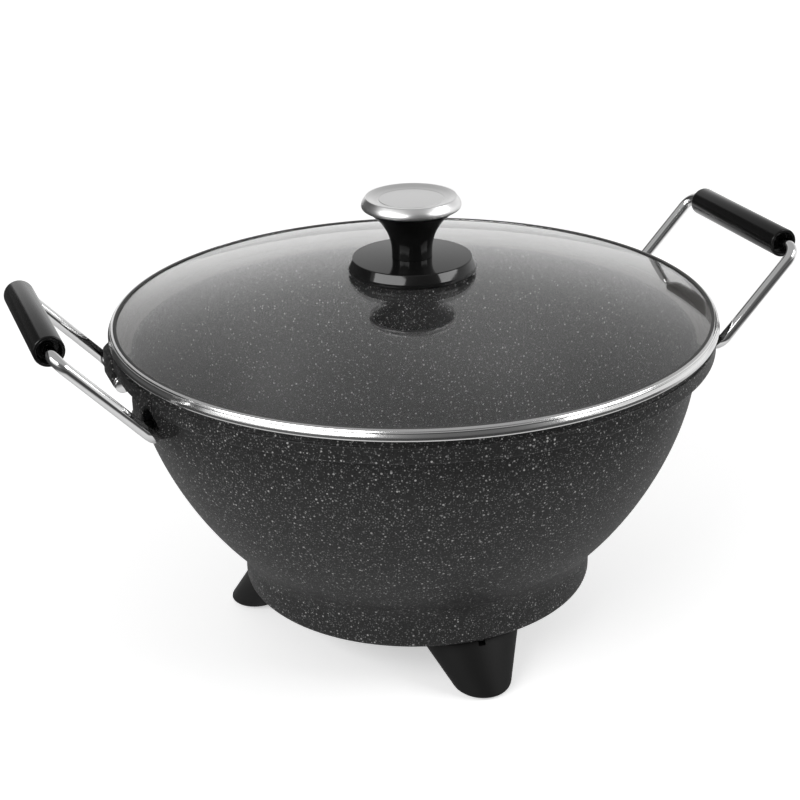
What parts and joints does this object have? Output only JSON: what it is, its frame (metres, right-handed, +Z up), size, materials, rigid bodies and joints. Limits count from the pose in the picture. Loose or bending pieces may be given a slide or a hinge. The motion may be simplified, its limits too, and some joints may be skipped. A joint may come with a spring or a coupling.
{
  "type": "electric wok",
  "caption": "Round-bottomed electric wok on short legs, with a speckled non-stick pan, a domed glass lid with a knob, two swinging wire handles and a plug-in heater socket.",
  "frame": {"origin": "on the surface that the wok stands on, under the pan's axis", "axes": "+Z up, +X through the right handle, +Y to the back where the thermostat inlet is, -Y to the front leg"},
  "size_m": [0.4628, 0.36, 0.2707],
  "materials": {
    "granite_coating": "cast aluminium with a charcoal non-stick coating, satin, with fine pale specks",
    "black_plastic": "matte black heat-proof plastic",
    "gloss_black": "gloss black heat-proof plastic",
    "chrome": "chromed steel wire",
    "polished_steel": "polished stainless steel",
    "satin_steel": "satin stainless steel",
    "clear_glass": "clear tempered glass",
    "silicone": "grey silicone",
    "rubber": "black rubber",
    "nickel": "nickel-plated steel",
    "element_steel": "heat-darkened steel sheath"
  },
  "bodies": {
    "base": {"wok_pan": "granite_coating", "leg_front": "black_plastic", "leg_rear_left": "black_plastic", "leg_rear_right": "black_plastic", "foot_pad_front": "rubber", "foot_pad_rear_left": "rubber", "foot_pad_rear_right": "rubber", "leg_screw_front": "nickel", "leg_screw_rear_left": "nickel", "leg_screw_rear_right": "nickel", "base_cover": "black_plastic", "cover_screw_1": "nickel", "cover_screw_2": "nickel", "cover_screw_3": "nickel", "heat_reflector": "polished_steel", "heating_element": "element_steel", "terminal_pin_left": "nickel", "terminal_pin_right": "nickel", "probe_sleeve": "nickel", "inlet_housing": "black_plastic", "inlet_screw_left": "nickel", "inlet_screw_right": "nickel", "earth_clip": "nickel"},
    "lid": {"lid_glass": "clear_glass", "lid_rim_band": "polished_steel", "knob_base": "gloss_black", "knob_upper_gasket": "silicone", "knob_lower_gasket": "silicone", "knob_body": "gloss_black", "knob_cap": "satin_steel", "knob_washer": "nickel", "knob_screw": "nickel"},
    "bail_right": {"handle_wire_right": "chrome", "wire_retainer_right_front": "chrome", "wire_retainer_right_rear": "chrome"},
    "bail_left": {"handle_wire_left": "chrome", "wire_retainer_left_front": "chrome", "wire_retainer_left_rear": "chrome"},
    "grip_right": {"handle_grip_right": "gloss_black"},
    "grip_left": {"handle_grip_left": "gloss_black"}
  },
  "joints": [
    {"name": "lid_lift", "type": "slide", "parent": "base", "child": "lid", "axis": [0, 0, 1], "range_m": [0, 0.12]},
    {"name": "right_handle_swing", "type": "hinge", "parent": "base", "child": "bail_right", "pos_m": [0.1725, 0, 0.172], "axis": [0, -1, 0], "range_deg": [0, 36]},
    {"name": "left_handle_swing", "type": "hinge", "parent": "base", "child": "bail_left", "pos_m": [-0.1725, 0, 0.172], "axis": [0, 1, 0], "range_deg": [0, 36]},
    {"name": "right_grip_turn", "type": "hinge", "parent": "bail_right", "child": "grip_right", "pos_m": [0.2227, 0, 0.2265], "axis": [0, 1, 0], "continuous": true},
    {"name": "left_grip_turn", "type": "hinge", "parent": "bail_left", "child": "grip_left", "pos_m": [-0.2227, 0, 0.2265], "axis": [0, 1, 0], "continuous": true}
  ]
}
